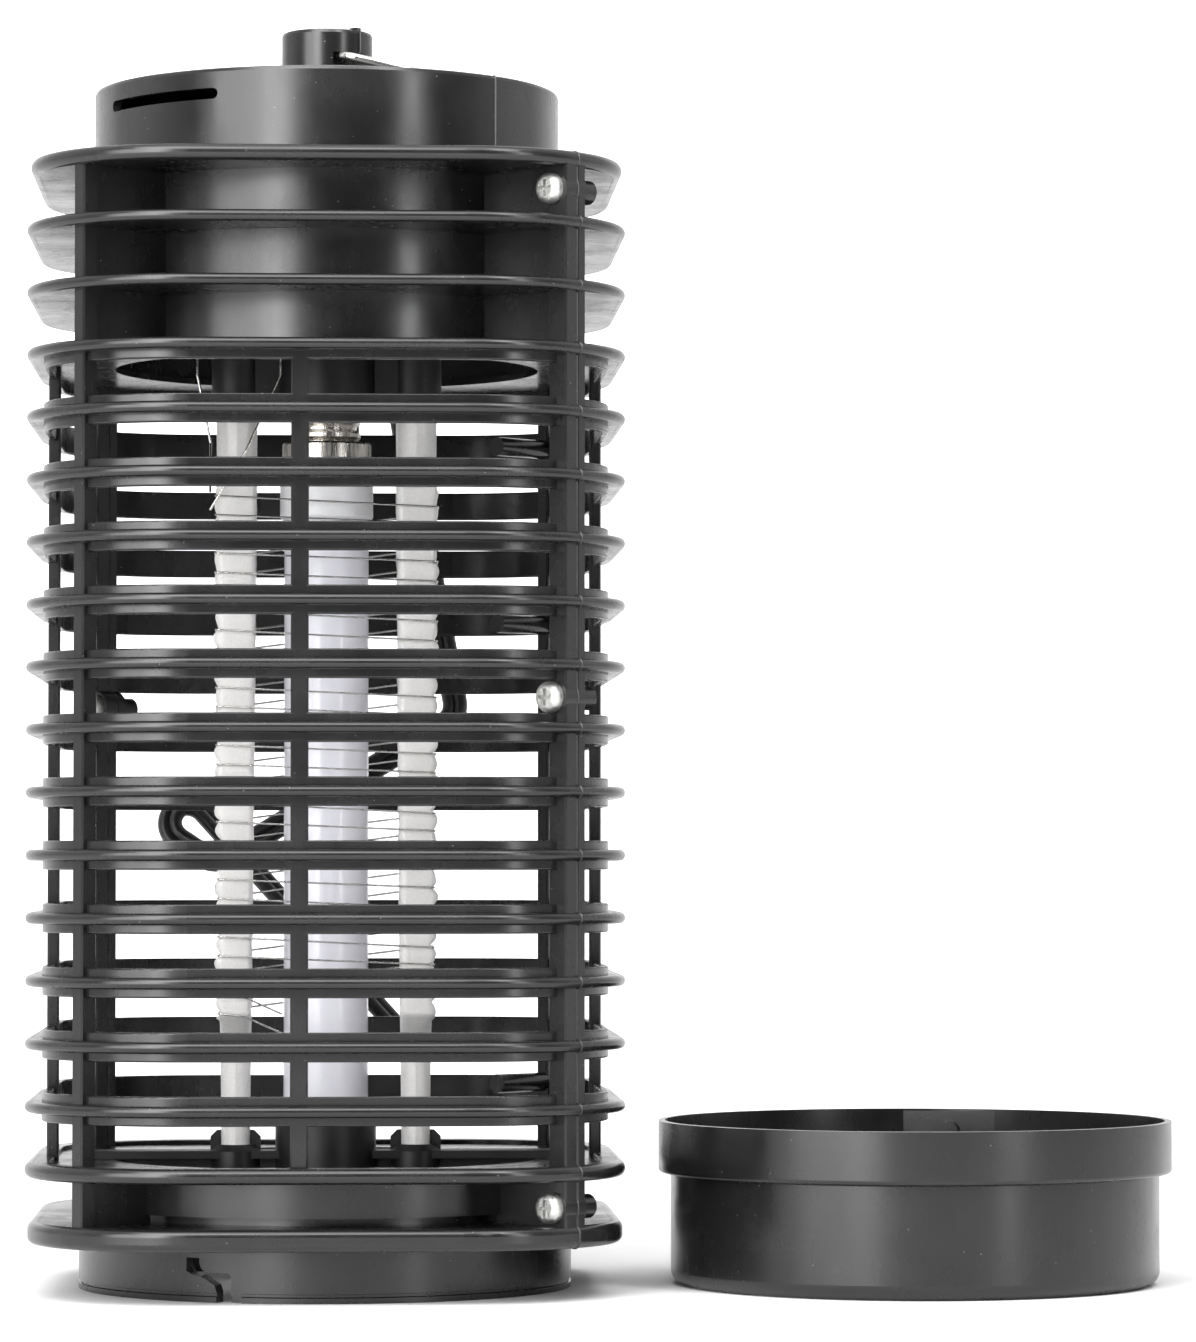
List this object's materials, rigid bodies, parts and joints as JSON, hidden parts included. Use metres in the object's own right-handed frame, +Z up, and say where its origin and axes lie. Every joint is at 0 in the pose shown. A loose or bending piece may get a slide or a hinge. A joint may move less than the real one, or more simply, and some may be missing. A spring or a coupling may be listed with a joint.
{
  "type": "electric bug zapper",
  "caption": "Plug-in bug zapper: louvred two-part cage round an ultraviolet lamp and a wound high-voltage grid, with a hanging ring and a lift-off tray.",
  "frame": {"origin": "centre of the base ring's lower edge, on the surface the zapper stands on", "axes": "+Z up along the lamp, -Y to the front, +X towards the tray that stands beside the zapper"},
  "size_m": [0.2337, 0.1697, 0.2574],
  "materials": {
    "housing": "satin moulded black",
    "inner_plastic": "satin moulded black",
    "screws": "bright zinc",
    "steel_wire": "bright drawn wire",
    "grid_wire": "drawn wire",
    "post_plastic": "waxy off-white",
    "lamp_metal": "satin nickel",
    "lamp_plastic": "smooth white",
    "lamp_glass": "opal white",
    "lamp_insulator": "fired black",
    "brass": "bright",
    "board": "paper laminate",
    "capacitor": "dipped resin",
    "diode": "moulded",
    "resistor": "lacquered",
    "lead_sleeve": "soft",
    "cord": "satin flexible",
    "plug": "satin moulded black",
    "plug_metal": "nickel plated",
    "tray": "satin moulded black"
  },
  "bodies": {
    "housing": {"cage_front_half": "housing", "cage_rear_half": "housing", "case_screws": "screws", "base_ring": "housing", "upper_carrier": "inner_plastic", "lower_carrier": "inner_plastic", "grid_post_left": "post_plastic", "grid_post_right": "post_plastic", "grid_wire_live": "grid_wire", "grid_wire_return": "grid_wire", "grid_leads": "grid_wire", "lamp_holder": "inner_plastic", "holder_shell": "brass", "holder_contact": "brass", "circuit_board": "board", "film_capacitors": "capacitor", "diodes": "diode", "resistors": "resistor", "board_screws": "screws", "supply_leads": "lead_sleeve", "lamp_leads": "lead_sleeve", "cord_grommet": "lead_sleeve", "power_cord": "cord", "plug_body": "plug", "plug_pins": "plug_metal"},
    "lamp": {"lamp_cap": "lamp_metal", "lamp_insulator": "lamp_insulator", "lamp_contact": "brass", "lamp_skirt": "lamp_metal", "lamp_sleeve": "lamp_plastic", "lamp_tube": "lamp_glass", "lamp_ballast": "board"},
    "hanger": {"hanger_ring": "steel_wire"},
    "tray": {"tray": "tray"}
  },
  "joints": [
    {"name": "lamp_turn", "type": "hinge", "parent": "housing", "child": "lamp", "pos_m": [0, 0, 0.15], "axis": [0, 0, 1], "range_deg": [0, 360]},
    {"name": "hanger_swing", "type": "hinge", "parent": "housing", "child": "hanger", "pos_m": [0.003, 0, 0.25115], "axis": [0, -1, 0], "range_deg": [0, 204]},
    {"name": "tray_lift", "type": "slide", "parent": "housing", "child": "tray", "axis": [0, 0, 1], "range_m": [0, 0.12]}
  ]
}
